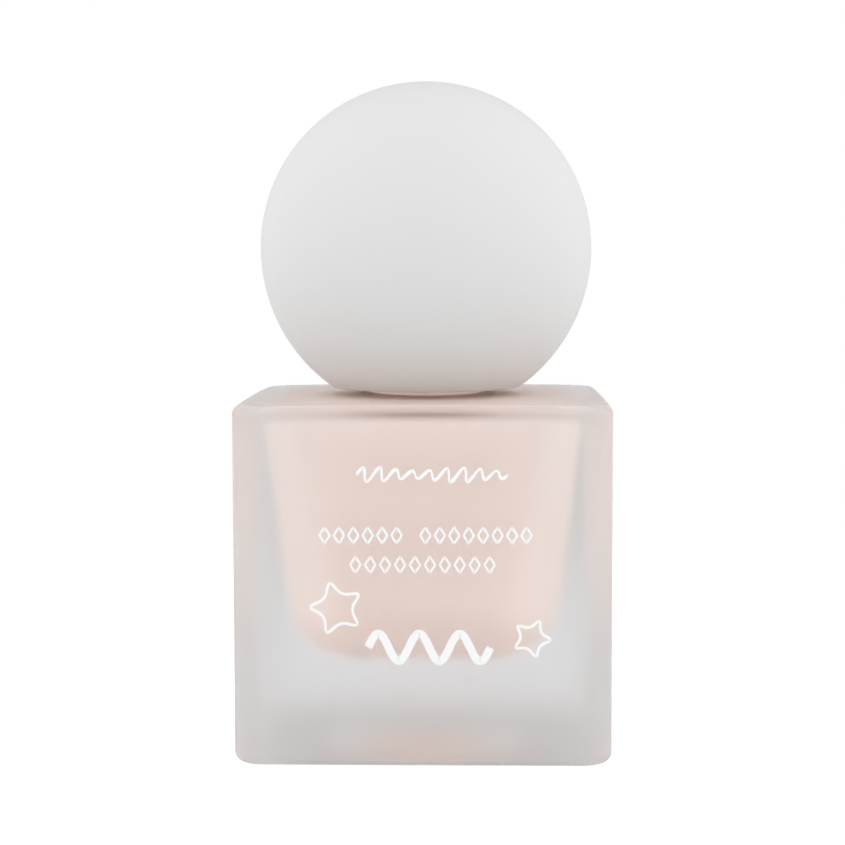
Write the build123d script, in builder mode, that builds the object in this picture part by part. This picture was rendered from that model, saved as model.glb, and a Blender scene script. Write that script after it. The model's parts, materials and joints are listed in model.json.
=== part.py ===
"""Square glass foundation bottle, 30 ml, with a dispensing pump and a ball-shaped overcap.

Frame: +Z up, origin at the middle of the base, -Y is the printed front. Millimetres.
The bottle is a heavy glass block round a tapered well. An 18 mm screw neck holds a pump by its
screw collar, and the ball cap slips over that collar and hides the pump.
"""

import os
from math import radians, sqrt, tan

from build123d import *

# ---- Bottle block -------------------------------------------------------------------------
body_width = 45.0
body_depth = 45.0
shoulder_height = 43.0  # at the foot of the neck
shoulder_fall = 0.25  # how far the shoulder drops from the neck to the middle of the front edge
corner_radius = 3.6  # the four upright edges
shoulder_edge_radius = 1.0
heel_radius = 1.2
push_up_diameter = 26.0  # shallow dome pressed up into the base
push_up_height = 2.0

# ---- Well inside the block ----------------------------------------------------------------
base_thickness = 11.3
ceiling_thickness = 2.1
side_wall_top = 3.5  # glass between the well and the front, just under the shoulder
well_taper = 6.6  # degrees that each side leans in towards the floor
well_corner_top = 5.5
well_corner_floor = 9.0
well_floor_radius = 8.0
well_ceiling_radius = 1.0

# ---- Screw neck ---------------------------------------------------------------------------
finish_height = 15.5
neck_diameter = 15.9
neck_bore = 11.4
neck_lip_radius = 0.6
neck_root_radius = 0.8
bore_mouth_radius = 1.0
thread_diameter = 17.9
thread_pitch = 2.117  # 12 turns to the inch
thread_turns = 2.0
thread_drop = 1.8  # from the lip down to the middle of the thread's upper end
neck_ridge_root = 1.4
neck_ridge_crest = 0.6

# ---- Pump ---------------------------------------------------------------------------------
stroke = 3.6
gasket_thickness = 0.8
flange_diameter = 15.6
flange_thickness = 1.0
chamber_bore = 8.0
chamber_wall = 0.8
chamber_depth = 17.1  # from the top of the flange down to the ledge that the spring stands on
guide_depth = 3.6
guide_flange_diameter = 10.4
guide_flange_thickness = 0.8
guide_chamfer = 0.25
stem_diameter = 4.0
stem_bore = 2.2
stem_stop_diameter = 6.4
stem_stop_thickness = 0.8
piston_height = 3.6
piston_waist_diameter = 7.0
piston_lip_height = 0.8
piston_lip_width = 0.4
piston_cup_depth = 0.8
shaft_diameter = 2.18
shaft_insert = 3.0  # length held in the stem
foot_diameter = 5.6
foot_thickness = 1.2
foot_spigot_diameter = 3.2
foot_spigot_length = 1.5
spring_diameter = 5.4  # to the middle of the wire
spring_wire = 0.45
spring_turns = 6.0
ball_diameter = 3.0
ball_lift = 0.8
cage_bore = 3.7
cage_diameter = 6.0
cage_lip_bore = 2.7
cage_lip_thickness = 0.5
throat_bore = 2.0
throat_length = 1.0
cage_neck_drop = 1.0  # height of the cone from the chamber down to the cage
tail_diameter = 5.0
tail_length = 6.0
tail_mouth_chamfer = 0.2
vent_diameter = 0.8
tube_diameter = 3.2
tube_bore = 2.0
tube_clearance = 1.2  # from the tube's end to the floor of the well

# ---- Screw collar -------------------------------------------------------------------------
collar_diameter = 20.2
collar_root_diameter = 18.3  # inside, between the turns of its thread
collar_crest_diameter = 16.4
collar_ridge_root = 0.9
collar_ridge_crest = 0.35
collar_thread_turns = 1.75
collar_top_thickness = 1.3
collar_skirt_gap = 1.3  # above the shoulder
collar_edge_radius = 0.6
collar_bead_height = 0.05
collar_bead_width = 0.8
collar_bead_rise = 2.4  # above the skirt's lower edge
chimney_wall = 0.8
flute_count = 48
flute_radius = 0.35
flute_depth = 0.14
flute_start = 4.2  # above the skirt's lower edge

# ---- Head that the finger presses ---------------------------------------------------------
head_diameter = 14.8
head_height = 4.8
head_edge_radius = 0.8
head_dish_depth = 0.6
head_skirt_wall = 1.2
stem_socket_wall = 1.0
stem_socket_depth = 5.2
spout_reach = 9.5  # from the axis to the tip
spout_diameter = 4.2
spout_edge_radius = 0.4
nozzle_diameter = 3.0
nozzle_bore = 1.4
nozzle_length = 2.8
nozzle_mouth_chamfer = 0.25
channel_bore = 2.0

# ---- Liquid -------------------------------------------------------------------------------
fill_rise = 2.2  # how far the liquid stands up into the neck
fill_gap = 0.12  # kept round the pump and its tube

# ---- Ball cap -----------------------------------------------------------------------------
ball_cap_diameter = 41.7
shell_wall = 2.0
cap_gap = 0.6  # between the shoulder and the cap's base
rim_flare = 0.27  # how far the rim stands outside the true ball
rim_land = 0.75  # width of the rim outside the liner
rim_radius = 1.0
liner_wall = 0.8
liner_top_thickness = 1.0
spout_room = 0.5  # between the spout's tip and the liner round the head
liner_mouth_chamfer = 0.3
socket_wall = 1.5
socket_height = 8.4
rib_count = 6
rib_thickness = 1.0
rib_step = 0.4  # from the socket's rim down to the ribs
weld_tongue = 1.2
weld_step = 1.0
dome_boss_diameter = 6.8
dome_boss_bore = 4.4

# ---- Clearances ---------------------------------------------------------------------------
slip = 0.1  # the cap over the collar
press = 0.01  # pieces pushed together for good
run = 0.05  # pieces that slide or turn in each other
play = 0.1  # end play between pieces that meet along the axis
travel_room = 0.3  # left under a piece at the bottom of its stroke
head_lap = 0.6  # how much of the head's skirt stays inside the chimney at rest
pull_room = 0.6  # between the head and the liner's roof

# ---- Heights that follow from the sizes above ----------------------------------------------
well_ceiling = shoulder_height - ceiling_thickness
finish_top = shoulder_height + finish_height
flange_bottom = finish_top + gasket_thickness
flange_top = flange_bottom + flange_thickness
guide_bottom = flange_top - guide_depth
guide_top = flange_top + guide_flange_thickness
stem_stop_top = guide_bottom - play
stem_stop_bottom = stem_stop_top - stem_stop_thickness
piston_top = stem_stop_bottom - play
piston_bottom = piston_top - piston_height
foot_top = piston_bottom - play
foot_bottom = foot_top - foot_thickness
spring_ledge = flange_top - chamber_depth
cage_top = spring_ledge - cage_lip_thickness
ball_radius = ball_diameter / 2
seat_top = cage_top - (ball_radius * sqrt(2) - cage_bore / 2 + ball_radius + ball_lift + play)
ball_height = seat_top - cage_bore / 2 + ball_radius * sqrt(2) + run
throat_top = seat_top - (cage_bore - throat_bore) / 2
socket_top = throat_top - throat_length
tail_bottom = socket_top - tail_length
collar_top = flange_top + collar_top_thickness
collar_bottom = shoulder_height + collar_skirt_gap
head_skirt_bottom = collar_top + stroke + travel_room
chimney_top = head_skirt_bottom + head_lap
head_bottom = chimney_top + stroke + travel_room
head_top = head_bottom + head_height
spout_height = head_bottom + head_height / 2
stem_top = head_skirt_bottom + stem_socket_depth
thread_top = finish_top - thread_drop
thread_bottom = thread_top - thread_turns * thread_pitch
cap_base = shoulder_height + cap_gap
vent_height = guide_bottom - play - vent_diameter / 2
liner_roof = head_top + pull_room
liner_top = liner_roof + liner_top_thickness
liner_step = collar_top + travel_room

# ---- Radii that follow from the sizes above ------------------------------------------------
chamber_radius = chamber_bore / 2
housing_radius = chamber_radius + chamber_wall
collar_radius = collar_diameter / 2
chimney_inner_radius = head_diameter / 2 - chimney_wall
head_skirt_radius = chimney_inner_radius - 4 * run
liner_inner_radius = collar_radius + slip
liner_outer_radius = liner_inner_radius + liner_wall
liner_bell_radius = spout_reach + spout_room
rim_outer_radius = liner_outer_radius + rim_land
cap_radius = ball_cap_diameter / 2
ball_centre = cap_base + sqrt((cap_radius + rim_flare) ** 2 - rim_outer_radius**2)
shell_inner_radius = cap_radius - shell_wall


def ring_of(points):
    """Turns a closed outline, given as (radius, height) points, about the axis."""
    with BuildPart() as turned:
        with BuildSketch(Plane.XZ):
            with BuildLine():
                Polyline(points, close=True)
            make_face()
        revolve(axis=Axis.Z)
    return turned.part


def screw_ridge(root_radius, crest_radius, root_width, crest_width, bottom, turns):
    """A right-hand thread ridge of trapezoid section, sunk a little into the wall it grows from."""
    sunk = 0.15 if crest_radius > root_radius else -0.15
    with BuildPart() as ridge:
        with BuildLine() as path:
            turn = Helix(thread_pitch, turns * thread_pitch, root_radius, center=(0, 0, bottom))
        with BuildSketch(Plane(turn @ 0, x_dir=(1, 0, 0), z_dir=turn % 0)):
            with BuildLine():
                Polyline(
                    (-sunk, -root_width / 2),
                    (0, -root_width / 2),
                    (crest_radius - root_radius, -crest_width / 2),
                    (crest_radius - root_radius, crest_width / 2),
                    (0, root_width / 2),
                    (-sunk, root_width / 2),
                    close=True,
                )
            make_face()
        sweep(path=path.line, is_frenet=True)
    return ridge.part


parts = []


def finished(piece, name):
    """Gives a finished piece its name and keeps it for export."""
    piece.part.label = name
    parts.append(piece.part)


# ==== Bottle ===============================================================================
well_height = well_ceiling - base_thickness
well_lean = 2 * well_height * tan(radians(well_taper))
well_width = body_width - 2 * side_wall_top
well_depth = body_depth - 2 * side_wall_top

with BuildPart() as well:
    with BuildSketch(Plane.XY.offset(base_thickness)):
        RectangleRounded(well_width - well_lean, well_depth - well_lean, well_corner_floor)
    with BuildSketch(Plane.XY.offset(well_ceiling)):
        RectangleRounded(well_width, well_depth, well_corner_top)
    loft(ruled=True)
    fillet(well.faces().sort_by(Axis.Z)[0].edges(), well_floor_radius)
    fillet(well.faces().sort_by(Axis.Z)[-1].edges(), well_ceiling_radius)

crown_radius = ((body_depth / 2) ** 2 + shoulder_fall**2) / (2 * shoulder_fall)
push_up_sphere = ((push_up_diameter / 2) ** 2 + push_up_height**2) / (2 * push_up_height)

with BuildPart() as bottle:
    with BuildSketch():
        RectangleRounded(body_width, body_depth, corner_radius)
    extrude(amount=shoulder_height)
    with Locations((0, 0, shoulder_height - crown_radius)):
        Sphere(crown_radius, mode=Mode.INTERSECT)
    fillet(bottle.edges().group_by(Axis.Z)[0], heel_radius)
    fillet(bottle.faces().sort_by(Axis.Z)[-1].edges(), shoulder_edge_radius)
    with Locations((0, 0, push_up_height - push_up_sphere)):
        Sphere(push_up_sphere, mode=Mode.SUBTRACT)
    with Locations((0, 0, well_ceiling + ceiling_thickness / 2)):
        Cylinder(
            neck_diameter / 2,
            finish_height + ceiling_thickness / 2,
            align=(Align.CENTER, Align.CENTER, Align.MIN),
        )
    neck_root = (
        bottle.edges()
        .filter_by(GeomType.CIRCLE)
        .filter_by(lambda e: abs(e.radius - neck_diameter / 2) < 0.01)
        .sort_by(Axis.Z)[0]
    )
    fillet(neck_root, neck_root_radius)
    fillet(bottle.faces().sort_by(Axis.Z)[-1].edges(), neck_lip_radius)
    add(well.part, mode=Mode.SUBTRACT)
    with Locations((0, 0, base_thickness + well_height / 2)):
        Cylinder(
            neck_bore / 2,
            finish_top,
            align=(Align.CENTER, Align.CENTER, Align.MIN),
            mode=Mode.SUBTRACT,
        )
    add(
        screw_ridge(
            neck_diameter / 2,
            thread_diameter / 2,
            neck_ridge_root,
            neck_ridge_crest,
            thread_bottom,
            thread_turns,
        )
    )
finished(bottle, "bottle")

# ==== Pump housing, with the cage for the inlet ball and the socket for the tube ============
with BuildPart() as pump_housing:
    add(
        ring_of(
            [
                (chamber_radius, flange_top),
                (flange_diameter / 2, flange_top),
                (flange_diameter / 2, flange_bottom),
                (housing_radius, flange_bottom),
                (housing_radius, spring_ledge - chamber_wall),
                (cage_diameter / 2, spring_ledge - chamber_wall - cage_neck_drop),
                (cage_diameter / 2, throat_top),
                (tail_diameter / 2, socket_top),
                (tail_diameter / 2, tail_bottom),
                (tube_diameter / 2 + tail_mouth_chamfer, tail_bottom),
                (tube_diameter / 2, tail_bottom + tail_mouth_chamfer),
                (tube_diameter / 2, socket_top),
                (throat_bore / 2, socket_top),
                (throat_bore / 2, throat_top),
                (cage_bore / 2, seat_top),
                (cage_bore / 2, cage_top),
                (cage_lip_bore / 2, cage_top),
                (cage_lip_bore / 2, spring_ledge),
                (chamber_radius, spring_ledge),
            ]
        )
    )
    with BuildSketch(Plane.YZ.offset(chamber_radius - chamber_wall)):
        with Locations((0, vent_height)):
            Circle(vent_diameter / 2)
    extrude(amount=3 * chamber_wall, mode=Mode.SUBTRACT)
finished(pump_housing, "pump_housing")

with BuildPart() as neck_gasket:
    add(
        ring_of(
            [
                (housing_radius + run, finish_top),
                (flange_diameter / 2, finish_top),
                (flange_diameter / 2, flange_bottom),
                (housing_radius + run, flange_bottom),
            ]
        )
    )
finished(neck_gasket, "neck_gasket")

tube_end = base_thickness + tube_clearance
with BuildPart() as dip_tube:
    with Locations((0, 0, tube_end)):
        Cylinder(
            tube_diameter / 2,
            socket_top - tube_end,
            align=(Align.CENTER, Align.CENTER, Align.MIN),
        )
        Cylinder(
            tube_bore / 2,
            socket_top - tube_end,
            align=(Align.CENTER, Align.CENTER, Align.MIN),
            mode=Mode.SUBTRACT,
        )
finished(dip_tube, "dip_tube")

with BuildPart() as inlet_ball:
    with Locations((0, 0, ball_height)):
        Sphere(ball_radius)
finished(inlet_ball, "inlet_ball")

# ==== Moving parts inside the chamber =======================================================
with BuildPart() as stem_guide:
    add(
        ring_of(
            [
                (stem_diameter / 2 + run, guide_bottom),
                (chamber_radius, guide_bottom),
                (chamber_radius, flange_top),
                (guide_flange_diameter / 2, flange_top),
                (guide_flange_diameter / 2, guide_top - guide_chamfer),
                (guide_flange_diameter / 2 - guide_chamfer, guide_top),
                (stem_diameter / 2 + run + guide_chamfer, guide_top),
                (stem_diameter / 2 + run, guide_top - guide_chamfer),
            ]
        )
    )
finished(stem_guide, "stem_guide")

with BuildPart() as pump_stem:
    add(
        ring_of(
            [
                (stem_bore / 2, stem_stop_bottom),
                (stem_stop_diameter / 2, stem_stop_bottom),
                (stem_stop_diameter / 2, stem_stop_top),
                (stem_diameter / 2, stem_stop_top),
                (stem_diameter / 2, stem_top),
                (stem_bore / 2, stem_top),
            ]
        )
    )
finished(pump_stem, "pump_stem")

piston_seal_radius = chamber_radius - run
with BuildPart() as piston:
    add(
        ring_of(
            [
                (shaft_diameter / 2 + run, piston_bottom + piston_cup_depth),
                (piston_waist_diameter / 2 - piston_lip_width, piston_bottom),
                (piston_seal_radius, piston_bottom),
                (piston_seal_radius, piston_bottom + piston_lip_height),
                (piston_waist_diameter / 2, piston_bottom + 2 * piston_lip_height),
                (piston_waist_diameter / 2, piston_top - 2 * piston_lip_height),
                (piston_seal_radius, piston_top - piston_lip_height),
                (piston_seal_radius, piston_top),
                (shaft_diameter / 2 + run, piston_top),
            ]
        )
    )
finished(piston, "piston")

with BuildPart() as piston_shaft:
    add(
        ring_of(
            [
                (0, foot_bottom - foot_spigot_length),
                (foot_spigot_diameter / 2 - guide_chamfer, foot_bottom - foot_spigot_length),
                (foot_spigot_diameter / 2, foot_bottom - foot_spigot_length + guide_chamfer),
                (foot_spigot_diameter / 2, foot_bottom),
                (foot_diameter / 2, foot_bottom),
                (foot_diameter / 2, foot_top),
                (shaft_diameter / 2, foot_top),
                (shaft_diameter / 2, stem_stop_bottom + shaft_insert),
                (0, stem_stop_bottom + shaft_insert),
            ]
        )
    )
finished(piston_shaft, "piston_shaft")

with BuildPart() as return_spring:
    with BuildLine():
        coil = Helix(
            (foot_bottom - spring_ledge - spring_wire) / spring_turns,
            foot_bottom - spring_ledge - spring_wire,
            spring_diameter / 2,
            center=(0, 0, spring_ledge + spring_wire / 2),
        )
    with BuildSketch(Plane(coil @ 0, x_dir=(1, 0, 0), z_dir=coil % 0)):
        Circle(spring_wire / 2)
    sweep(is_frenet=True)
finished(return_spring, "return_spring")

# ==== Screw collar ==========================================================================
with BuildPart() as screw_collar:
    add(
        ring_of(
            [
                (collar_root_diameter / 2, collar_bottom),
                (collar_radius, collar_bottom),
                (collar_radius, collar_top),
                (head_diameter / 2, collar_top),
                (head_diameter / 2, chimney_top),
                (chimney_inner_radius, chimney_top),
                (chimney_inner_radius, flange_top),
                (collar_root_diameter / 2, flange_top),
            ]
        )
    )
    rounded_edges = screw_collar.edges().filter_by(GeomType.CIRCLE)
    fillet(
        rounded_edges.filter_by(lambda e: abs(e.radius - collar_radius) < 0.01).sort_by(Axis.Z)[-1],
        collar_edge_radius,
    )
    fillet(
        screw_collar.faces().sort_by(Axis.Z)[-1].edges(),
        chimney_wall / 4,
    )
    with PolarLocations(collar_radius + flute_radius - flute_depth, flute_count):
        with Locations((0, 0, collar_bottom + flute_start)):
            Cylinder(
                flute_radius,
                collar_top - collar_bottom - flute_start - 2 * collar_edge_radius,
                align=(Align.CENTER, Align.CENTER, Align.MIN),
                mode=Mode.SUBTRACT,
            )
    add(
        ring_of(
            [
                (collar_radius - collar_bead_height, collar_bottom + collar_bead_rise),
                (collar_radius, collar_bottom + collar_bead_rise),
                (
                    collar_radius + collar_bead_height,
                    collar_bottom + collar_bead_rise + collar_bead_width / 3,
                ),
                (
                    collar_radius + collar_bead_height,
                    collar_bottom + collar_bead_rise + collar_bead_width * 2 / 3,
                ),
                (collar_radius, collar_bottom + collar_bead_rise + collar_bead_width),
                (
                    collar_radius - collar_bead_height,
                    collar_bottom + collar_bead_rise + collar_bead_width,
                ),
            ]
        )
    )
    add(
        screw_ridge(
            collar_root_diameter / 2,
            collar_crest_diameter / 2,
            collar_ridge_root,
            collar_ridge_crest,
            thread_bottom - thread_pitch / 2,
            collar_thread_turns,
        )
    )
finished(screw_collar, "screw_collar")

# ==== Head ==================================================================================
dish_radius = head_diameter / 2 - 2 * head_edge_radius
dish_sphere = (dish_radius**2 + head_dish_depth**2) / (2 * head_dish_depth)
stem_socket_radius = stem_diameter / 2 + stem_socket_wall
spout_root = head_skirt_radius - head_skirt_wall

with BuildPart() as pump_head:
    add(
        ring_of(
            [
                (0, stem_top),
                (stem_diameter / 2, stem_top),
                (stem_diameter / 2, head_skirt_bottom),
                (stem_socket_radius, head_skirt_bottom),
                (stem_socket_radius, stem_top),
                (head_skirt_radius - head_skirt_wall, stem_top),
                (head_skirt_radius - head_skirt_wall, head_skirt_bottom),
                (head_skirt_radius, head_skirt_bottom),
                (head_skirt_radius, head_bottom),
                (head_diameter / 2, head_bottom),
                (head_diameter / 2, head_top),
                (0, head_top),
            ]
        )
    )
    fillet(pump_head.faces().sort_by(Axis.Z)[-1].edges(), head_edge_radius)
    with Locations((0, 0, head_top - head_dish_depth + dish_sphere)):
        Sphere(dish_sphere, mode=Mode.SUBTRACT)
    with BuildSketch(Plane.XZ.offset(spout_root)):
        with Locations((0, spout_height)):
            Circle(spout_diameter / 2)
    extrude(amount=spout_reach - spout_root)
    fillet(
        pump_head.faces().sort_by(Axis.Y)[0].edges(),
        spout_edge_radius,
    )
    with BuildSketch(Plane.XZ.offset(spout_reach - nozzle_length)):
        with Locations((0, spout_height)):
            Circle(nozzle_diameter / 2)
    extrude(amount=nozzle_length, mode=Mode.SUBTRACT)
    with BuildSketch(Plane.XZ):
        with Locations((0, spout_height)):
            Circle(channel_bore / 2)
    extrude(amount=spout_reach, mode=Mode.SUBTRACT)
    with Locations((0, 0, stem_top)):
        Cylinder(
            stem_bore / 2,
            spout_height - stem_top,
            align=(Align.CENTER, Align.CENTER, Align.MIN),
            mode=Mode.SUBTRACT,
        )
finished(pump_head, "pump_head")

with BuildPart() as nozzle_insert:
    with BuildSketch(Plane.XZ.offset(spout_reach - nozzle_length)):
        with Locations((0, spout_height)):
            Circle(nozzle_diameter / 2 - press)
            Circle(nozzle_bore / 2, mode=Mode.SUBTRACT)
    extrude(amount=nozzle_length)
    chamfer(
        nozzle_insert.faces().sort_by(Axis.Y)[0].edges().sort_by(SortBy.RADIUS)[0],
        nozzle_mouth_chamfer,
    )
finished(nozzle_insert, "nozzle_insert")

# ==== Liquid ================================================================================
with BuildPart() as foundation_fill:
    add(well.part)
    with Locations((0, 0, base_thickness + well_height / 2)):
        Cylinder(
            neck_bore / 2,
            well_height / 2 + fill_rise,
            align=(Align.CENTER, Align.CENTER, Align.MIN),
        )
    add(
        ring_of(
            [
                (0, tube_end - fill_gap),
                (tube_diameter / 2 + fill_gap, tube_end - fill_gap),
                (tube_diameter / 2 + fill_gap, tail_bottom - fill_gap),
                (tail_diameter / 2 + fill_gap, tail_bottom - fill_gap),
                (tail_diameter / 2 + fill_gap, socket_top - fill_gap),
                (cage_diameter / 2 + fill_gap, throat_top - fill_gap),
                (
                    cage_diameter / 2 + fill_gap,
                    spring_ledge - chamber_wall - cage_neck_drop - fill_gap,
                ),
                (housing_radius + fill_gap, spring_ledge - chamber_wall - fill_gap),
                (housing_radius + fill_gap, finish_top),
                (0, finish_top),
            ]
        ),
        mode=Mode.SUBTRACT,
    )
finished(foundation_fill, "foundation_fill")

# ==== Ball cap ==============================================================================
socket_radius = liner_outer_radius + socket_wall
socket_rim = cap_base + socket_height
socket_foot = ball_centre - sqrt(shell_inner_radius**2 - socket_radius**2)
tongue_radius = shell_inner_radius + weld_step
mid_wall_radius = shell_inner_radius + shell_wall / 2
rib_reach = sqrt(mid_wall_radius**2 - (ball_centre - socket_rim + rib_step) ** 2)

with BuildPart() as cap_lower_shell:
    with BuildSketch(Plane.XZ):
        with BuildLine():
            outside = TangentArc(
                (cap_radius, ball_centre), (rim_outer_radius, cap_base), tangent=(0, -1)
            )
            Line(outside @ 1, (liner_outer_radius + press, cap_base))
            Line((liner_outer_radius + press, cap_base), (liner_outer_radius + press, socket_rim))
            Line((liner_outer_radius + press, socket_rim), (socket_radius, socket_rim))
            Line((socket_radius, socket_rim), (socket_radius, socket_foot))
            TangentArc(
                (shell_inner_radius, ball_centre),
                (socket_radius, socket_foot),
                tangent=(0, -1),
            )
            Line((shell_inner_radius, ball_centre), (shell_inner_radius, ball_centre + weld_tongue))
            Line(
                (shell_inner_radius, ball_centre + weld_tongue),
                (tongue_radius, ball_centre + weld_tongue),
            )
            Line((tongue_radius, ball_centre + weld_tongue), (tongue_radius, ball_centre))
            Line((tongue_radius, ball_centre), (cap_radius, ball_centre))
        make_face()
    revolve(axis=Axis.Z)
    fillet(
        cap_lower_shell.faces().sort_by(Axis.Z)[0].edges().sort_by(SortBy.RADIUS)[-1],
        rim_radius,
    )
    with BuildSketch(Plane.XZ):
        with BuildLine():
            Polyline(
                (socket_radius - socket_wall / 2, socket_rim - rib_step),
                (rib_reach, socket_rim - rib_step),
                (
                    socket_radius - socket_wall / 2,
                    ball_centre
                    - sqrt(mid_wall_radius**2 - (socket_radius - socket_wall / 2) ** 2),
                ),
                close=True,
            )
        make_face()
    rib = extrude(amount=rib_thickness / 2, both=True, mode=Mode.PRIVATE)
    with PolarLocations(0, rib_count):
        add(rib)
finished(cap_lower_shell, "cap_lower_shell")

boss_radius = dome_boss_diameter / 2
boss_bottom = liner_top + play
boss_root = ball_centre + sqrt(shell_inner_radius**2 - boss_radius**2)
inner_pole = ball_centre + shell_inner_radius
lap_radius = sqrt(shell_inner_radius**2 - weld_tongue**2)

with BuildPart() as cap_upper_shell:
    with BuildSketch(Plane.XZ):
        with BuildLine():
            TangentArc(
                (cap_radius, ball_centre), (0, ball_centre + cap_radius), tangent=(0, 1)
            )
            Line((0, ball_centre + cap_radius), (0, inner_pole))
            Line((0, inner_pole), (dome_boss_bore / 2, inner_pole))
            Line((dome_boss_bore / 2, inner_pole), (dome_boss_bore / 2, boss_bottom))
            Line((dome_boss_bore / 2, boss_bottom), (boss_radius, boss_bottom))
            Line((boss_radius, boss_bottom), (boss_radius, boss_root))
            RadiusArc(
                (boss_radius, boss_root),
                (lap_radius, ball_centre + weld_tongue + press),
                shell_inner_radius,
            )
            Line(
                (lap_radius, ball_centre + weld_tongue + press),
                (tongue_radius + press, ball_centre + weld_tongue + press),
            )
            Line(
                (tongue_radius + press, ball_centre + weld_tongue + press),
                (tongue_radius + press, ball_centre),
            )
            Line((tongue_radius + press, ball_centre), (cap_radius, ball_centre))
        make_face()
    revolve(axis=Axis.Z)
finished(cap_upper_shell, "cap_upper_shell")

with BuildPart() as cap_room:
    with Locations((0, 0, ball_centre)):
        Sphere(shell_inner_radius - play)
        Cylinder(
            shell_inner_radius - play,
            ball_centre - cap_base,
            align=(Align.CENTER, Align.CENTER, Align.MAX),
        )

with BuildPart() as cap_liner:
    add(
        ring_of(
            [
                (0, liner_roof),
                (liner_bell_radius, liner_roof),
                (liner_bell_radius, liner_step),
                (liner_inner_radius, liner_step),
                (liner_inner_radius, cap_base + liner_mouth_chamfer),
                (liner_inner_radius + liner_mouth_chamfer, cap_base),
                (liner_outer_radius, cap_base),
                (liner_outer_radius, liner_step + liner_wall),
                (liner_bell_radius + liner_wall, liner_step + liner_wall),
                (liner_bell_radius + liner_wall, liner_top - liner_wall),
                (liner_bell_radius, liner_top),
                (dome_boss_bore / 2 - press, liner_top),
                (dome_boss_bore / 2 - press, inner_pole - play),
                (0, inner_pole - play),
            ]
        )
    )
    add(cap_room.part, mode=Mode.INTERSECT)
finished(cap_liner, "cap_liner")

os.makedirs("parts", exist_ok=True)
for piece in parts:
    export_step(piece, f"parts/{piece.label}.step")
    print(piece.label, len(piece.solids()), round(piece.volume, 1), piece.is_valid)
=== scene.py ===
import bpy
import json
import math
import numpy as np
from mathutils import Matrix, Vector


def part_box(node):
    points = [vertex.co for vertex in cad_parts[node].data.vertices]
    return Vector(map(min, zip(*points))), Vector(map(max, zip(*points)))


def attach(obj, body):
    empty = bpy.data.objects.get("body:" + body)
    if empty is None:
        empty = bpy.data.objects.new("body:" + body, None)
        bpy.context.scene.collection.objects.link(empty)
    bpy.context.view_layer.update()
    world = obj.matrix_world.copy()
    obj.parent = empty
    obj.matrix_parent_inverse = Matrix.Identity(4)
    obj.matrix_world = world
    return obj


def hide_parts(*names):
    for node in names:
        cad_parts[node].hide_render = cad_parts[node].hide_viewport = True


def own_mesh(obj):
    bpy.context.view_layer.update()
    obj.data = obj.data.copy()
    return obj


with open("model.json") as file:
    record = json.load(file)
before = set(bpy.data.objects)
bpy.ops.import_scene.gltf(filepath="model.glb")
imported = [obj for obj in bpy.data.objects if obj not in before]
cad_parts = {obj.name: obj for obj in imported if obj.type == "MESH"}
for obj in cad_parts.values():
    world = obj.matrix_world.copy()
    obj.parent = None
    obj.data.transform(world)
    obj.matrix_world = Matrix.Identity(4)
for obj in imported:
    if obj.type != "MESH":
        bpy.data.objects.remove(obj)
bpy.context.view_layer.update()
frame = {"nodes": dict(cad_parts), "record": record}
mm = 0.001
print("frame loaded:", len(frame["nodes"]), "nodes")


# ---- meshes from grids of points ----

def meshPiece(name, points, quads, material, smooth=True):
    # points: (n, 3) in metres, quads: (m, 4); a quad that repeats a corner becomes a triangle
    mesh = bpy.data.meshes.new(name)
    same = (quads[:, 0] == quads[:, 3]) | (quads[:, 2] == quads[:, 3])
    faces = [q[:3] if t else q for q, t in zip(quads.tolist(), same.tolist())]
    mesh.from_pydata(points.tolist(), [], faces)
    mesh.polygons.foreach_set("use_smooth", np.full(len(faces), smooth))
    mesh.update()
    mesh.validate()
    piece = bpy.data.objects.new(name, mesh)
    bpy.context.scene.collection.objects.link(piece)
    mesh.materials.append(material)
    return piece


def loopGrid(rows, cols):
    # quads between neighbouring rings of a grid whose columns close into a loop
    r, c = np.meshgrid(np.arange(rows - 1), np.arange(cols), indexing="ij")
    n = (c + 1) % cols
    here, above = r * cols, (r + 1) * cols
    return np.stack([here + c, here + n, above + n, above + c], -1).reshape(-1, 4)


def poleFan(ring, cols, pole, flip):
    # triangles that close a ring onto one point
    c = np.arange(cols)
    n = (c + 1) % cols
    a, b = (n, c) if flip else (c, n)
    return np.stack([ring + a, ring + b, np.full(cols, pole), np.full(cols, pole)], -1)


def closedTurning(name, rings, startPole, endPole, material):
    # rings: (levels, columns, 3), in order from startPole to endPole along the outline, all turning the way
    # that makes the faces look outward
    rows, cols = rings.shape[:2]
    points = np.vstack([rings.reshape(-1, 3), startPole, endPole])
    quads = np.vstack([
        loopGrid(rows, cols),
        poleFan(0, cols, rows * cols, True),
        poleFan((rows - 1) * cols, cols, rows * cols + 1, False),
    ])
    return meshPiece(name, points, quads, material)


def arcPoints(centre, radius, start, end, count):
    # a circular arc in the (radius, height) plane, angles in degrees from the horizontal
    a = np.radians(np.linspace(start, end, count))
    return np.stack([centre[0] + radius * np.cos(a), centre[1] + radius * np.sin(a)], -1)


# ---- shader helpers ----

def newMaterial(name):
    material = bpy.data.materials.new(name)
    material.use_nodes = True
    nodes, links = material.node_tree.nodes, material.node_tree.links
    return material, nodes, links, nodes["Principled BSDF"]


grainDefaults = {"Size": 400.0, "Blotch Size": 60.0, "Blotch": 0.04,
                 "Roughness": 0.4, "Roughness Spread": 0.1}


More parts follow.
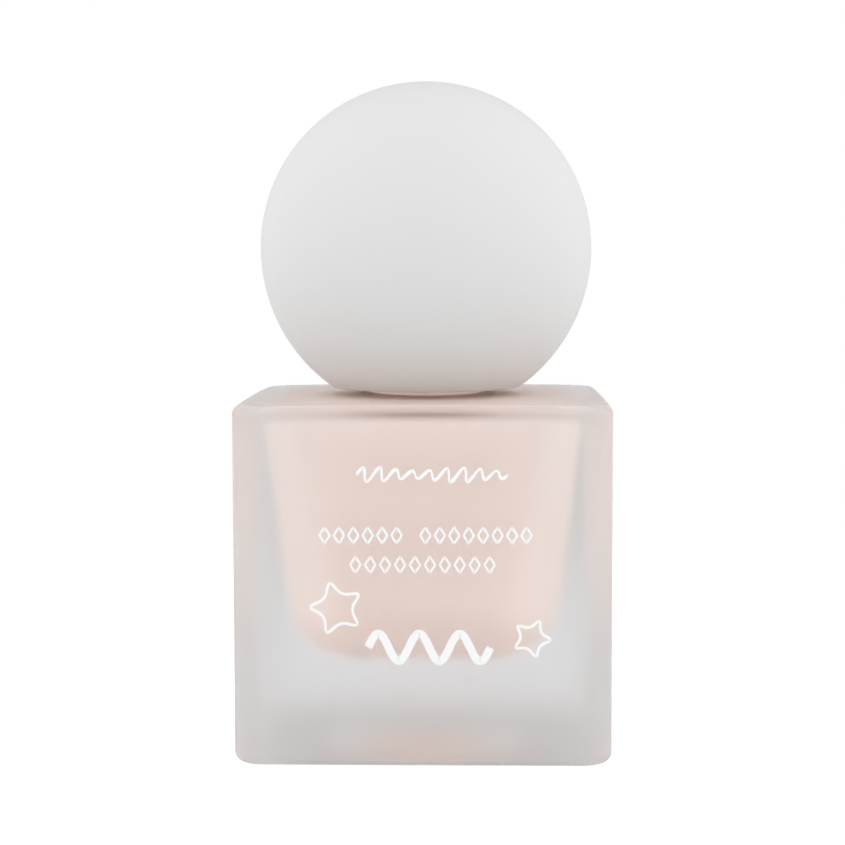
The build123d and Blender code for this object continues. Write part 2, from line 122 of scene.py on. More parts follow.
def grainGroup():
    # fine surface grain on Object coordinates: a soft blotch for colour, a height for bump,
    # and a roughness that wanders with the blotch
    group = bpy.data.node_groups.new("fineGrain", "ShaderNodeTree")
    face = group.interface
    for socketName, value in grainDefaults.items():
        socket = face.new_socket(socketName, in_out="INPUT", socket_type="NodeSocketFloat")
        socket.default_value = value
    face.new_socket("Colour In", in_out="INPUT", socket_type="NodeSocketColor")
    face.new_socket("Colour", in_out="OUTPUT", socket_type="NodeSocketColor")
    face.new_socket("Height", in_out="OUTPUT", socket_type="NodeSocketFloat")
    face.new_socket("Rough", in_out="OUTPUT", socket_type="NodeSocketFloat")
    nodes, links = group.nodes, group.links
    given = nodes.new("NodeGroupInput")
    result = nodes.new("NodeGroupOutput")
    place = nodes.new("ShaderNodeTexCoord")
    fine = nodes.new("ShaderNodeTexNoise")
    fine.inputs["Detail"].default_value = 4.0
    links.new(place.outputs["Object"], fine.inputs["Vector"])
    links.new(given.outputs["Size"], fine.inputs["Scale"])
    blotch = nodes.new("ShaderNodeTexNoise")
    blotch.inputs["Detail"].default_value = 3.0
    links.new(place.outputs["Object"], blotch.inputs["Vector"])
    links.new(given.outputs["Blotch Size"], blotch.inputs["Scale"])
    # colour x (1 - blotch x noise)
    amount = nodes.new("ShaderNodeMath")
    amount.operation = "MULTIPLY"
    links.new(blotch.outputs["Fac"], amount.inputs[0])
    links.new(given.outputs["Blotch"], amount.inputs[1])
    tint = nodes.new("ShaderNodeMath")
    tint.operation = "SUBTRACT"
    tint.inputs[0].default_value = 1.0
    links.new(amount.outputs[0], tint.inputs[1])
    shade = nodes.new("ShaderNodeVectorMath")
    shade.operation = "SCALE"
    links.new(given.outputs["Colour In"], shade.inputs[0])
    links.new(tint.outputs[0], shade.inputs["Scale"])
    links.new(shade.outputs["Vector"], result.inputs["Colour"])
    links.new(fine.outputs["Fac"], result.inputs["Height"])
    # roughness + spread x (noise - 0.5)
    centred = nodes.new("ShaderNodeMath")
    centred.operation = "SUBTRACT"
    centred.inputs[1].default_value = 0.5
    links.new(blotch.outputs["Fac"], centred.inputs[0])
    rough = nodes.new("ShaderNodeMath")
    rough.operation = "MULTIPLY_ADD"
    links.new(centred.outputs[0], rough.inputs[0])
    links.new(given.outputs["Roughness Spread"], rough.inputs[1])
    links.new(given.outputs["Roughness"], rough.inputs[2])
    links.new(rough.outputs[0], result.inputs["Rough"])
    return group


fineGrain = grainGroup()


def grained(name, look):
    # a material whose colour, roughness and bump come from the grain group with its own values
    material, nodes, links, shader = newMaterial(name)
    grain = nodes.new("ShaderNodeGroup")
    grain.node_tree = fineGrain
    grain.inputs["Size"].default_value = look["grain"]
    grain.inputs["Blotch Size"].default_value = look["blotchSize"]
    grain.inputs["Blotch"].default_value = look["blotch"]
    grain.inputs["Roughness"].default_value = look["roughness"]
    grain.inputs["Roughness Spread"].default_value = look["spread"]
    grain.inputs["Colour In"].default_value = (*look["colour"], 1.0)
    bump = nodes.new("ShaderNodeBump")
    bump.inputs["Strength"].default_value = look["bump"]
    bump.inputs["Distance"].default_value = look["depth"] * mm
    links.new(grain.outputs["Height"], bump.inputs["Height"])
    links.new(grain.outputs["Colour"], shader.inputs["Base Color"])
    links.new(grain.outputs["Rough"], shader.inputs["Roughness"])
    links.new(bump.outputs["Normal"], shader.inputs["Normal"])
    for socketName, value in look.get("sockets", {}).items():
        shader.inputs[socketName].default_value = value
    return material


def mathOf(tree, operation, *values):
    # a Math node whose inputs are numbers or other nodes' outputs
    node = tree.nodes.new("ShaderNodeMath")
    node.operation = operation
    for socket, value in zip(node.inputs, values):
        if isinstance(value, (int, float)):
            socket.default_value = value
        else:
            tree.links.new(value, socket)
    return node.outputs[0]


def mapped(tree, value, fromMin, fromMax, toMin, toMax, kind="LINEAR"):
    # from one range to another, held at its ends
    node = tree.nodes.new("ShaderNodeMapRange")
    node.interpolation_type = kind
    ends = {"From Min": fromMin, "From Max": fromMax, "To Min": toMin, "To Max": toMax}
    for socketName, number in ends.items():
        node.inputs[socketName].default_value = number
    tree.links.new(value, node.inputs["Value"])
    return node.outputs["Result"]


def objectParts(tree, unsigned):
    # the Object coordinates' x, y and z, each without its sign if asked
    place = tree.nodes.new("ShaderNodeTexCoord").outputs["Object"]
    if unsigned:
        away = tree.nodes.new("ShaderNodeVectorMath")
        away.operation = "ABSOLUTE"
        tree.links.new(place, away.inputs[0])
        place = away.outputs["Vector"]
    apart = tree.nodes.new("ShaderNodeSeparateXYZ")
    tree.links.new(place, apart.inputs[0])
    return apart.outputs


# ---- camera ----

cameraSet = {"place": (6.967, -260.81, 58.94), "azimuth": 1.64, "down": 4.36, "roll": 0.14,
             "lens": 87.53, "sensor": 36.0, "clip": 0.01}

cameraData = bpy.data.cameras.new("camera")
cameraData.lens = cameraSet["lens"]
cameraData.sensor_width = cameraSet["sensor"]
cameraData.clip_start = cameraSet["clip"]
camera = bpy.data.objects.new("camera", cameraData)
camera.location = Vector(cameraSet["place"]) * mm
camera.rotation_mode = "QUATERNION"
camera.rotation_quaternion = (
    Matrix.Rotation(math.radians(cameraSet["azimuth"]), 4, "Z")
    @ Matrix.Rotation(math.radians(90.0 - cameraSet["down"]), 4, "X")
    @ Matrix.Rotation(math.radians(-cameraSet["roll"]), 4, "Z")
).to_quaternion()
bpy.context.scene.collection.objects.link(camera)
bpy.context.scene.camera = camera
print("camera placed")


# ---- light ----

lightSet = {"level": 0.68, "sides": 0.54, "sideFrom": 0.12, "sideTo": 0.62, "top": 0.17, "back": 0.29,
            "lean": 0.03, "seen": 1.0}


def studioWorld():
    # light = level + sides x (a smooth step towards either side) + top x z
    #         - back x (how far it comes from behind) + lean x x; looked at directly, it is plain white
    world = bpy.data.worlds.new("studio")
    world.use_nodes = True
    sky = world.node_tree
    nodes, links = sky.nodes, sky.links
    nodes.clear()
    way = nodes.new("ShaderNodeTexCoord")
    parts = nodes.new("ShaderNodeSeparateXYZ")
    links.new(way.outputs["Generated"], parts.inputs[0])
    aside = mathOf(sky, "ABSOLUTE", parts.outputs["X"])
    sideways = mapped(sky, aside, lightSet["sideFrom"], lightSet["sideTo"], 0.0, 1.0, "SMOOTHSTEP")
    fromSides = mathOf(sky, "MULTIPLY_ADD", sideways, lightSet["sides"], lightSet["level"])
    fromTop = mathOf(sky, "MULTIPLY_ADD", parts.outputs["Z"], lightSet["top"], fromSides)
    behind = mathOf(sky, "MAXIMUM", parts.outputs["Y"], 0.0)
    fromBack = mathOf(sky, "MULTIPLY_ADD", behind, -lightSet["back"], fromTop)
    fromRight = mathOf(sky, "MULTIPLY_ADD", parts.outputs["X"], lightSet["lean"], fromBack)
    soft = nodes.new("ShaderNodeBackground")
    soft.inputs["Color"].default_value = (1.0, 1.0, 1.0, 1.0)
    links.new(fromRight, soft.inputs["Strength"])
    plain = nodes.new("ShaderNodeBackground")
    plain.inputs["Color"].default_value = (1.0, 1.0, 1.0, 1.0)
    plain.inputs["Strength"].default_value = lightSet["seen"]
    seen = nodes.new("ShaderNodeLightPath")
    either = nodes.new("ShaderNodeMixShader")
    links.new(seen.outputs["Is Camera Ray"], either.inputs[0])
    links.new(soft.outputs[0], either.inputs[1])
    links.new(plain.outputs[0], either.inputs[2])
    worldOut = nodes.new("ShaderNodeOutputWorld")
    links.new(either.outputs[0], worldOut.inputs["Surface"])
    return world


bpy.context.scene.world = studioWorld()
bpy.context.scene.view_settings.view_transform = "Standard"
print("light set")


# ---- floor: a pale disc that fades out before its rim ----

floorSet = {"radius": 300.0, "firstRing": 0.1, "rings": 10, "columns": 96, "below": 0.02,
            "fadeFrom": 120.0, "fadeTo": 230.0, "colour": (0.80, 0.80, 0.80), "roughness": 0.9, "glow": 0.45}


def makeFloor():
    # rings of a flat disc: radius grows with the first parameter, the angle with the second
    rows, cols = floorSet["rings"], floorSet["columns"]
    height = -floorSet["below"] * mm
    radii = np.linspace(floorSet["firstRing"], 1.0, rows) * floorSet["radius"] * mm
    turn = np.linspace(0, 2 * np.pi, cols, endpoint=False)
    flat = np.full((rows, cols), height)
    grid = np.stack([np.outer(radii, np.cos(turn)), np.outer(radii, np.sin(turn)), flat], -1)
    points = np.vstack([grid.reshape(-1, 3), [[0, 0, height]]])
    quads = np.vstack([loopGrid(rows, cols)[:, ::-1], poleFan(0, cols, rows * cols, False)])
    material, nodes, links, shader = newMaterial("paleFloor")
    tree = material.node_tree
    shader.inputs["Base Color"].default_value = (*floorSet["colour"], 1.0)
    shader.inputs["Roughness"].default_value = floorSet["roughness"]
    shader.inputs["Specular IOR Level"].default_value = 0.0
    shader.inputs["Emission Color"].default_value = (1.0, 1.0, 1.0, 1.0)
    # the glow lifts the floor to white only where it is seen directly
    seenDirectly = nodes.new("ShaderNodeLightPath")
    glow = mathOf(tree, "MULTIPLY", seenDirectly.outputs["Is Camera Ray"], floorSet["glow"])
    links.new(glow, shader.inputs["Emission Strength"])
    place = nodes.new("ShaderNodeTexCoord")
    reach = nodes.new("ShaderNodeVectorMath")
    reach.operation = "LENGTH"
    links.new(place.outputs["Object"], reach.inputs[0])
    fade = mapped(tree, reach.outputs["Value"], floorSet["fadeFrom"] * mm, floorSet["fadeTo"] * mm, 1.0, 0.0)
    links.new(fade, shader.inputs["Alpha"])
    return meshPiece("floor", points, quads, material, smooth=False)


makeFloor()
print("floor laid")


# ---- frosted glass ----

glassSet = {"tint": (0.968, 0.978, 0.984), "roughness": 0.40, "spread": 0.06, "blotchSize": 90.0, "ior": 1.5,
            "etchSize": 2600.0, "etchDepth": 0.02, "etch": 0.15,
            "edgeFrom": 18.5, "edgeTo": 20.5, "edgeFrost": 0.5}


def frostedGlass():
    material, nodes, links, shader = newMaterial("frostedGlass")
    shader.inputs["Base Color"].default_value = (*glassSet["tint"], 1.0)
    shader.inputs["Transmission Weight"].default_value = 1.0
    shader.inputs["IOR"].default_value = glassSet["ior"]
    grain = nodes.new("ShaderNodeGroup")
    grain.node_tree = fineGrain
    grain.inputs["Size"].default_value = glassSet["etchSize"]
    grain.inputs["Blotch Size"].default_value = glassSet["blotchSize"]
    grain.inputs["Roughness"].default_value = glassSet["roughness"]
    grain.inputs["Roughness Spread"].default_value = glassSet["spread"]
    # the frosting is heavier towards the upright edges: it grows with the smaller of |x| and |y|
    tree = material.node_tree
    away = objectParts(tree, True)
    inner = mathOf(tree, "MINIMUM", away["X"], away["Y"])
    edgeFrom, edgeTo = glassSet["edgeFrom"] * mm, glassSet["edgeTo"] * mm
    heavier = mapped(tree, inner, edgeFrom, edgeTo, 0.0, glassSet["edgeFrost"])
    links.new(mathOf(tree, "ADD", grain.outputs["Rough"], heavier), shader.inputs["Roughness"])
    bump = nodes.new("ShaderNodeBump")
    bump.inputs["Strength"].default_value = glassSet["etch"]
    bump.inputs["Distance"].default_value = glassSet["etchDepth"] * mm
    links.new(grain.outputs["Height"], bump.inputs["Height"])
    links.new(bump.outputs["Normal"], shader.inputs["Normal"])
    return material


def dress(node, material):
    for slot in frame["nodes"][node].material_slots:
        slot.material = material


dress("bottle", frostedGlass())
print("glass frosted")


# ---- liquid ----

liquidSet = {"wallLean": 6.6, "floorHalf": 15.575, "floorCorner": 9.0, "topCorner": 5.5,
             "floorRound": 8.0, "topRound": 1.0, "wellTop": 40.9, "neck": 5.7, "stand": 0.07, "pumpGap": 0.12,
             "floorRings": 22, "wallRings": 14, "topRings": 8, "perCorner": 18,
             "pocket": ((4.92, 42.28), (3.12, 41.28), (3.12, 39.06), (2.62, 38.06))}


def rolled(h, contact, centre, radius, wallAt, cornerAt):
    # a ball of the given radius rolled round inside the walls: its centre line keeps radius x cos(lean) off
    # the wall at the height of contact, and the section grows from that line by
    # sqrt(radius^2 - (h - centre)^2)
    inset = radius * math.cos(math.radians(liquidSet["wallLean"]))
    reach = np.sqrt(np.clip(radius ** 2 - (h - centre) ** 2, 0, None))
    return wallAt(contact) - inset + reach, cornerAt(contact) - inset + reach


def liquidRings():
    # rounded-square sections: half width and corner radius change with height along the leaning wall,
    # and a rolled rounding takes over near the floor and under the shoulder
    low, high = (np.array(v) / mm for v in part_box("foundation_fill"))
    base = low[2]
    tall = liquidSet["wellTop"] - base
    lean = math.radians(liquidSet["wallLean"])
    r, t = liquidSet["floorRound"], liquidSet["topRound"]
    h = np.concatenate([
        r * (1 - np.cos(np.linspace(0, np.pi / 2, liquidSet["floorRings"]))),
        np.linspace(r, tall - t, liquidSet["wallRings"])[1:-1],
        tall - t * (1 - np.sin(np.linspace(0, np.pi / 2, liquidSet["topRings"]))),
    ])

    def wallAt(z):
        return liquidSet["floorHalf"] + z * math.tan(lean)

    def cornerAt(z):
        return liquidSet["floorCorner"] + (liquidSet["topCorner"] - liquidSet["floorCorner"]) * z / tall

    half, corner = wallAt(h), cornerAt(h)
    lowEnd, topEnd = r * (1 - math.sin(lean)), tall - t * (1 + math.sin(lean))
    for near, contact, centre, radius in ((h < lowEnd, lowEnd, r, r), (h > topEnd, topEnd, tall - t, t)):
        rolledHalf, rolledCorner = rolled(h, contact, centre, radius, wallAt, cornerAt)
        half, corner = np.where(near, rolledHalf, half), np.where(near, rolledCorner, corner)
    return h + base, half, corner, high[2]


def squareRings(height, half, corner):
    # one ring for each level: four arcs of the corner radius about the corners' centres
    perCorner = liquidSet["perCorner"]
    a = np.concatenate([np.linspace(0, np.pi / 2, perCorner) + q * np.pi / 2 for q in range(4)])
    sx = np.repeat([1, -1, -1, 1], perCorner)
    sy = np.repeat([1, 1, -1, -1], perCorner)
    inner = (half - corner)[:, None]
    x = inner * sx + corner[:, None] * np.cos(a)
    y = inner * sy + corner[:, None] * np.sin(a)
    z = np.broadcast_to(height[:, None], x.shape)
    return np.stack([x, y, z], -1)


def makeLiquid():
    # the well's rings, then the neck's, then down the pocket round the pump and its tube;
    # the pocket's steps are (radius, height), and it ends one gap below the housing and the tube
    grow, gap = liquidSet["stand"], liquidSet["pumpGap"]
    z, half, corner, level = liquidRings()
    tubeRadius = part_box("dip_tube")[1][0] / mm
    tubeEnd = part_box("dip_tube")[0][2] / mm
    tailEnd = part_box("pump_housing")[0][2] / mm
    pocket = np.array(liquidSet["pocket"])
    neck, mouth, tail, bore = liquidSet["neck"] + grow, pocket[0, 0], pocket[-1, 0], tubeRadius + gap
    outerZ = np.concatenate([z, [liquidSet["wellTop"] + grow, level, level]])
    outerHalf = np.concatenate([half + grow, [neck, neck, mouth]])
    outerCorner = np.concatenate([corner + grow, [neck, neck, mouth]])
    outerZ[0] = z[0] - grow
    outerZ[len(z) - 1] += grow
    height = np.concatenate([outerZ, pocket[:, 1], [tailEnd - gap, tailEnd - gap, tubeEnd - gap]])
    pocketHalf = np.concatenate([pocket[:, 0], [tail, bore, bore]])
    allHalf, allCorner = (np.concatenate([outer, pocketHalf]) for outer in (outerHalf, outerCorner))
    rings = squareRings(height, allHalf, allCorner)
    start, end = [[0, 0, height[0] * mm]], [[0, 0, height[-1] * mm]]
    return closedTurning("foundationLiquid", rings * mm, start, end, liquidMaterial)


# the cream's colour; a painted shade colour for its ceiling round the neck; and a painted glow (emission),
# with its colour, how it changes with height, in the neck and in the corners, and its strength
creamSet = {"colour": (0.97, 0.87, 0.82), "paintedShade": (0.68, 0.49, 0.40), "inner": (1.0, 0.65, 0.54),
            "shadeRing": (8.5, 14.5), "shadeHeight": (40.0, 40.8), "neckAt": (41.2, 41.8),
            "cornerAt": (12.0, 17.0), "cornerGlowShare": 0.45,
            "glowFrom": 12.0, "glowAtFloor": 1.02, "glowAtTop": 0.72, "glowInNeck": 1.3,
            "grain": 120.0, "blotchSize": 45.0, "blotch": 0.015, "roughness": 0.45, "spread": 0.08,
            "bump": 0.1, "depth": 0.05, "sockets": {"Emission Strength": 0.22}}


def creamMaterial():
    # light scattered inside the cream is painted on as a glow (emission), a little more towards the floor and
    # in the neck and less in the corners; its ceiling has a painted shade, deeper in tone round the neck,
    # where the cap and collar shade it
    material = grained("foundationCream", creamSet)
    tree = material.node_tree
    shader = tree.nodes["Principled BSDF"]
    grain = next(n for n in tree.nodes if n.type == "GROUP")
    away = objectParts(tree, True)

    def between(value, ends, low, high):
        return mapped(tree, value, ends[0] * mm, ends[1] * mm, low, high)

    # painted shade: a soft ring on the ceiling round the neck, darkest near the axis, standing for the shadow
    # of the cap and collar
    ySquared = mathOf(tree, "MULTIPLY", away["Y"], away["Y"])
    reach = mathOf(tree, "SQRT", mathOf(tree, "MULTIPLY_ADD", away["X"], away["X"], ySquared))
    overCeiling = between(away["Z"], creamSet["shadeHeight"], 0.0, 1.0)
    belowNeck = between(away["Z"], creamSet["neckAt"], 1.0, 0.0)
    ceiling = mathOf(tree, "MULTIPLY", overCeiling, belowNeck)
    paintedShade = mathOf(tree, "MULTIPLY", between(reach, creamSet["shadeRing"], 1.0, 0.0), ceiling)
    tone = tree.nodes.new("ShaderNodeMix")
    tone.data_type = "RGBA"
    colourA, colourB = [socket for socket in tone.inputs if socket.type == "RGBA"]
    colourA.default_value = (*creamSet["colour"], 1.0)
    colourB.default_value = (*creamSet["paintedShade"], 1.0)
    tree.links.new(paintedShade, tone.inputs["Factor"])
    tree.links.new(next(o for o in tone.outputs if o.type == "RGBA"), grain.inputs["Colour In"])
    # painted glow: more towards the floor and in the neck, less towards the top and in the corners, and less
    # where the painted shade lies
    wellHeight = (creamSet["glowFrom"], liquidSet["wellTop"])
    glowByHeight = between(away["Z"], wellHeight, creamSet["glowAtFloor"], creamSet["glowAtTop"])
    neck = between(away["Z"], creamSet["neckAt"], 0.0, creamSet["glowInNeck"])
    smaller = mathOf(tree, "MINIMUM", away["X"], away["Y"])
    corner = between(smaller, creamSet["cornerAt"], 1.0, creamSet["cornerGlowShare"])
    glowShare = mathOf(tree, "MULTIPLY", mathOf(tree, "ADD", glowByHeight, neck), corner)
    glowShare = mathOf(tree, "MULTIPLY", glowShare, mathOf(tree, "SUBTRACT", 1.0, paintedShade))
    # the painted glow's colour, scaled by its share, goes to the emission
    inner = tree.nodes.new("ShaderNodeVectorMath")
    inner.operation = "SCALE"
    inner.inputs[0].default_value = creamSet["inner"]
    tree.links.new(glowShare, inner.inputs["Scale"])
    tree.links.new(inner.outputs["Vector"], shader.inputs["Emission Color"])
    return material


liquidMaterial = creamMaterial()
liquid = makeLiquid()
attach(liquid, "bottle")
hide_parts("foundation_fill")
print("liquid poured")


# ---- ball cap: one painted skin over both shells ----

ballSet = {"rimRound": 1.0, "rimLand": 0.75, "wall": 2.0, "socketWall": 1.5, "socketRise": 8.4, "play": 0.01,
           "crownFrom": 89.0, "lowerFrom": -1.5, "innerTo": 88.0,
           "columns": 160, "ballSteps": 60, "lowerSteps": 36, "rimSteps": 8,
           "colour": (0.76, 0.76, 0.758), "grain": 1500.0, "blotchSize": 40.0, "blotch": 0.012,
           "roughness": 0.5, "spread": 0.08, "bump": 0.06, "depth": 0.02,
           "sockets": {"Specular IOR Level": 0.25}}


def ballProfile():
    # (radius, height) from the crown down the outside, round the rim, up the socket and over the inside
    # to the crown; angles are in degrees up from the ball's equator
    up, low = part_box("cap_upper_shell"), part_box("cap_lower_shell")
    ball = up[1][0] / mm
    centre, base = up[0][2] / mm, low[0][2] / mm
    play = ballSet["play"]
    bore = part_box("cap_liner")[1][0] / mm + play
    rim = bore + ballSet["rimLand"] - play
    drop = centre - base
    # centre of the lower arc, which meets the rim
    c = (ball ** 2 - rim ** 2 - drop ** 2) / (2 * (ball - rim))
    lower = ball - c
    r = ballSet["rimRound"]
    # where the rim's rounding leaves the arc
    rimTurn = math.degrees(math.asin((drop - r) / (lower - r)))
    rimCentre = (c + (lower - r) * math.cos(math.radians(rimTurn)), base + r)
    inner = ball - ballSet["wall"]
    socket, top = bore + ballSet["socketWall"] - play, base + ballSet["socketRise"]
    foot = math.degrees(math.acos(socket / inner))
    profile = np.vstack([
        arcPoints((0, centre), ball, ballSet["crownFrom"], 0.0, ballSet["ballSteps"]),
        arcPoints((c, centre), lower, ballSet["lowerFrom"], -rimTurn, ballSet["lowerSteps"]),
        arcPoints(rimCentre, r, -rimTurn, -90.0, ballSet["rimSteps"])[1:],
        [[bore, base], [bore, top], [socket, top]],
        arcPoints((0, centre), inner, -foot, ballSet["innerTo"], ballSet["ballSteps"]),
    ])
    return profile, centre, ball, inner


def makeBall():
    # the profile turned about the upright axis
    profile, centre, ball, inner = ballProfile()
    turn = np.linspace(0, 2 * np.pi, ballSet["columns"], endpoint=False)
    radius, height = profile[:, 0], np.repeat(profile[:, 1:2], len(turn), 1)
    rings = np.stack([np.outer(radius, np.cos(turn)), np.outer(radius, np.sin(turn)), height], -1) * mm
    insideCrown, outsideCrown = [[0, 0, (centre + inner) * mm]], [[0, 0, (centre + ball) * mm]]
    return closedTurning("ballCap", rings[::-1], insideCrown, outsideCrown, ballMaterial)


ballMaterial = grained("ballPaint", ballSet)
ballCap = makeBall()
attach(ballCap, "cap")
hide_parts("cap_upper_shell", "cap_lower_shell")
print("ball turned")


# ---- printed front ----

# the ink carries a faint painted glow: a weak white emission lifts it towards white
inkSet = {"thick": 0.03, "line": 0.33,
          "colour": (0.96, 0.965, 0.97), "grain": 1800.0, "blotchSize": 300.0, "blotch": 0.02,
          "roughness": 0.5, "spread": 0.1, "bump": 0.1, "depth": 0.01,
          "sockets": {"Emission Color": (1.0, 1.0, 1.0, 1.0), "Emission Strength": 0.06}}
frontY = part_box("bottle")[0][1] / mm
inkMaterial = grained("printInk", inkSet)


def printed(piece):
    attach(piece, "bottle")


def evenPath(path, count, closed):
    # points at equal steps along a path given by its corners
    if closed:
        path = np.vstack([path, path[:1]])
    step = np.concatenate([[0], np.cumsum(np.hypot(*np.diff(path, axis=0).T))])
    want = np.linspace(0, step[-1], count, endpoint=not closed)
    return np.stack([np.interp(want, step, path[:, 0]), np.interp(want, step, path[:, 1])], -1)


def softened(path, reach, closed):
    # a running mean along the path rounds its corners
    mode = "wrap" if closed else "edge"
    padded = np.pad(path, ((reach, reach), (0, 0)), mode=mode)
    kernel = np.ones(2 * reach + 1) / (2 * reach + 1)
    return np.stack([np.convolve(padded[:, i], kernel, "valid") for i in (0, 1)], -1)


def inkBand(name, path, width, closed):
    # a band of ink along a path on the front: at each point the path's normal times half the width,
    # with a flat top and square sides
    ahead = (np.roll(path, -1, 0) - np.roll(path, 1, 0)) if closed else np.gradient(path, axis=0)
    ahead /= np.hypot(ahead[:, 0], ahead[:, 1])[:, None]
    reach = np.broadcast_to(np.asarray(width) / 2, (len(path),))[:, None]
    side = np.stack([-ahead[:, 1], ahead[:, 0]], -1) * reach
    back, top = frontY, frontY - inkSet["thick"]
    left, right = path + side, path - side
    corners = [(left, back), (left, top), (right, top), (right, back)]
    grid = np.stack([np.stack([p[:, 0], np.full(len(p), y), p[:, 1]], -1) for p, y in corners], 1) * mm
    rows = len(path)
    if closed:
        r, c = np.meshgrid(np.arange(rows), np.arange(4), indexing="ij")
        here, following, n = r * 4, (r + 1) % rows * 4, (c + 1) % 4
        quads = np.stack([here + c, here + n, following + n, following + c], -1).reshape(-1, 4)
    else:
        last = (rows - 1) * 4
        quads = np.vstack([loopGrid(rows, 4), [[3, 2, 1, 0]], [[last, last + 1, last + 2, last + 3]]])
    printed(meshPiece(name, grid.reshape(-1, 3), quads, inkMaterial, smooth=False))


starRound = {"corners": 10, "points": 240, "softening": 9}


def starPath(centre, tip, valley, turned):
    # corners at alternate radii, tips and valleys, then rounded
    place = np.arange(starRound["corners"])
    a = np.radians(turned + 360.0 / starRound["corners"] * place)
    r = np.where(place % 2 == 0, tip, valley)
    corners = np.stack([centre[0] + r * np.cos(a), centre[1] + r * np.sin(a)], -1)
    return softened(evenPath(corners, starRound["points"], True), starRound["softening"], True)


starSet = {"left": ((-10.0, 18.9), 3.46, 1.66, 105.0), "right": ((12.9, 15.4), 2.46, 1.18, 66.5)}
for label, shape in starSet.items():
    inkBand("starOutline_" + label, starPath(*shape), inkSet["line"], True)

waveSet = {"from": -7.6, "to": 10.1, "height": 34.65, "swing": 0.85, "waves": 9, "lean": 0.35, "points": 400,
           "uneven": 0.25, "unevenWaves": 1.7, "unevenStart": 0.6, "swell": 0.25, "swellTurn": 60}


def wavePath():
    # a line that runs forward and swings up and down, leaning like handwriting, its swing uneven on the way
    s = np.linspace(0, 1, waveSet["points"])
    a = 2 * np.pi * waveSet["waves"] * s
    slow = np.sin(2 * np.pi * waveSet["unevenWaves"] * s + waveSet["unevenStart"])
    z = waveSet["swing"] * (1 - waveSet["uneven"] + waveSet["uneven"] * slow) * np.sin(a)
    x = waveSet["from"] + (waveSet["to"] - waveSet["from"]) * s + waveSet["lean"] * z
    return np.stack([x, waveSet["height"] + z], -1)


def waveWidth():
    # the pen's line swells and thins along the wave
    swelling = np.sin(np.linspace(0, waveSet["swellTurn"], waveSet["points"]))
    return inkSet["line"] * (1.0 + waveSet["swell"] * swelling)


inkBand("wavyLine", wavePath(), waveWidth(), False)

rowSet = {"upper": (-11.96, 12.86, 27.52, 15, 6), "lower": (-8.37, 8.56, 24.06, 10, None)}
markSet = {"halfWide": 0.62, "halfTall": 0.95, "line": 0.25, "inset": 0.6, "points": 48, "softening": 1}


def ornamentRow(label, start, end, height, count, gapAt):
    # a row of small outlined diamonds at equal steps, with one left out where the row has a gap
    wide, tall = markSet["halfWide"], markSet["halfTall"]
    centres = np.linspace(start + markSet["inset"], end - markSet["inset"], count)
    for i, x in enumerate(centres):
        if i == gapAt:
            continue
        diamond = np.array([[x + wide, height], [x, height + tall], [x - wide, height], [x, height - tall]])
        outline = softened(evenPath(diamond, markSet["points"], True), markSet["softening"], True)
        inkBand(f"rowMark_{label}_{i}", outline, markSet["line"], True)


for label, shape in rowSet.items():
    ornamentRow(label, *shape)

ribbonSet = {"from": -6.3, "to": 8.05, "height": 14.3, "tall": 4.2, "line": 0.95, "waves": 3, "points": 320}


def ribbonPath():
    # one bold even wave: the height follows a sine along the path
    s = np.linspace(0, 1, ribbonSet["points"])
    x = ribbonSet["from"] + (ribbonSet["to"] - ribbonSet["from"]) * s
    z = (ribbonSet["tall"] - ribbonSet["line"]) / 2 * np.sin(2 * np.pi * ribbonSet["waves"] * s)
    return evenPath(np.stack([x, ribbonSet["height"] + z], -1), ribbonSet["points"], False)


inkBand("boldWave", ribbonPath(), ribbonSet["line"], False)
print("front printed")


# ---- pump parts, liner and collar ----

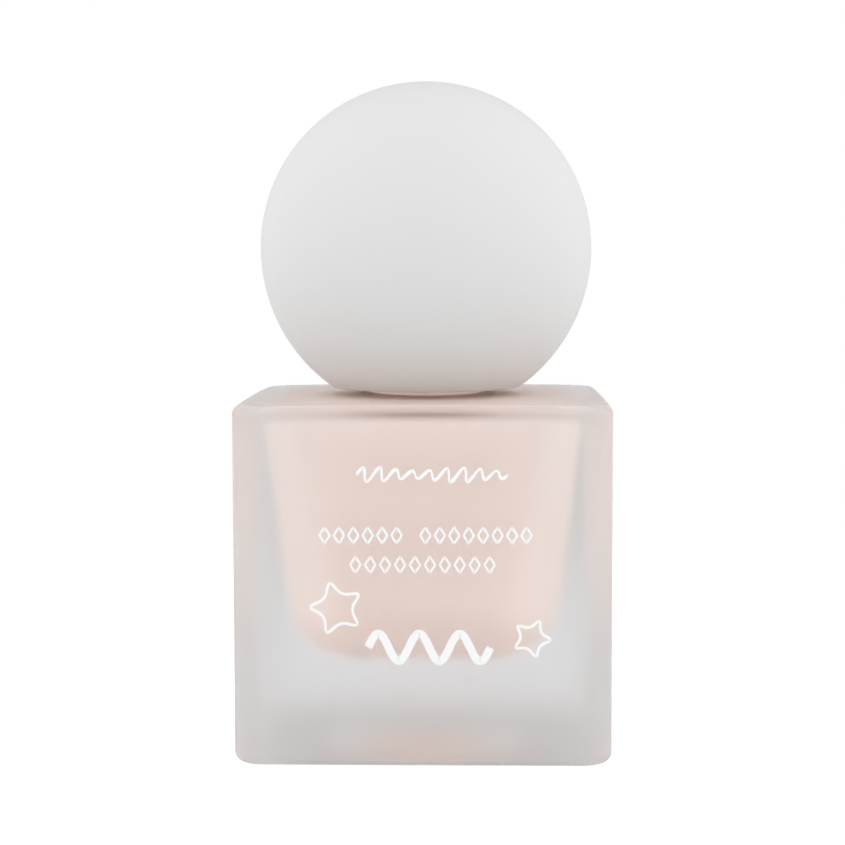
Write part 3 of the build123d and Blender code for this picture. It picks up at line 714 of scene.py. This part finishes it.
plasticSet = {
    "white_polypropylene": {
        "colour": (0.80, 0.80, 0.79), "grain": 900.0, "blotchSize": 70.0, "blotch": 0.03,
        "roughness": 0.33, "spread": 0.1, "bump": 0.12, "depth": 0.03,
        "sockets": {"Specular IOR Level": 0.5}},
    "natural_polypropylene": {
        "colour": (0.74, 0.75, 0.74), "grain": 700.0, "blotchSize": 90.0, "blotch": 0.05,
        "roughness": 0.3, "spread": 0.12, "bump": 0.1, "depth": 0.03},
    "liner_polypropylene": {
        "colour": (0.76, 0.76, 0.75), "grain": 800.0, "blotchSize": 60.0, "blotch": 0.04,
        "roughness": 0.42, "spread": 0.12, "bump": 0.15, "depth": 0.03},
    "piston_polyethylene": {
        "colour": (0.70, 0.71, 0.71), "grain": 700.0, "blotchSize": 80.0, "blotch": 0.05,
        "roughness": 0.38, "spread": 0.1, "bump": 0.1, "depth": 0.03},
    "gasket_foam": {
        "colour": (0.75, 0.75, 0.72), "grain": 2400.0, "blotchSize": 200.0, "blotch": 0.12,
        "roughness": 0.85, "spread": 0.1, "bump": 0.5, "depth": 0.06},
    "stainless_steel": {
        "colour": (0.56, 0.56, 0.57), "grain": 1600.0, "blotchSize": 150.0, "blotch": 0.08,
        "roughness": 0.22, "spread": 0.12, "bump": 0.08, "depth": 0.01, "sockets": {"Metallic": 1.0}},
}
finishes = {name: grained(name + "Finish", look) for name, look in plasticSet.items()}
for entry in frame["record"]["subparts"]:
    if entry["material_slot"] in finishes:
        dress(entry["node"], finishes[entry["material_slot"]])
print("plastics and steel finished")


# ---- return spring: a coil with closed ends ----

springSet = {"wire": 0.45, "turns": 6.5, "closed": 0.75, "perTurn": 48, "sides": 12, "press": 3.6}


def makeSpring():
    # a round wire carried along a helix: it climbs one wire a turn in the closed ends, evenly between them;
    # each ring lies in the plane of the helix's outward line and the line across both it and the wire
    low, high = (np.array(v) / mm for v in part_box("return_spring"))
    wire, turns, closed = springSet["wire"], springSet["turns"], springSet["closed"]
    tall = high[2] - low[2] - wire
    s = np.linspace(0, turns, int(turns * springSet["perTurn"]) + 1)
    stages, rises = [0, closed, turns - closed, turns], [0, closed * wire, tall - closed * wire, tall]
    z = low[2] + wire / 2 + np.interp(s, stages, rises)
    outward = np.stack([np.cos(2 * np.pi * s), np.sin(2 * np.pi * s), np.zeros_like(s)], -1)
    path = outward * (high[0] - wire / 2)
    path[:, 2] = z
    ahead = np.gradient(path, axis=0)
    ahead /= np.linalg.norm(ahead, axis=1, keepdims=True)
    across = np.cross(ahead, outward)
    a = np.linspace(0, 2 * np.pi, springSet["sides"], endpoint=False)[None, :, None]
    rings = path[:, None] + wire / 2 * (np.cos(a) * outward[:, None] + np.sin(a) * across[:, None])
    ends = path[:1] * mm, path[-1:] * mm
    piece = closedTurning("returnCoil", rings * mm, *ends, finishes["stainless_steel"])
    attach(piece, "pump")
    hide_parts("return_spring")
    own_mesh(piece)


makeSpring()
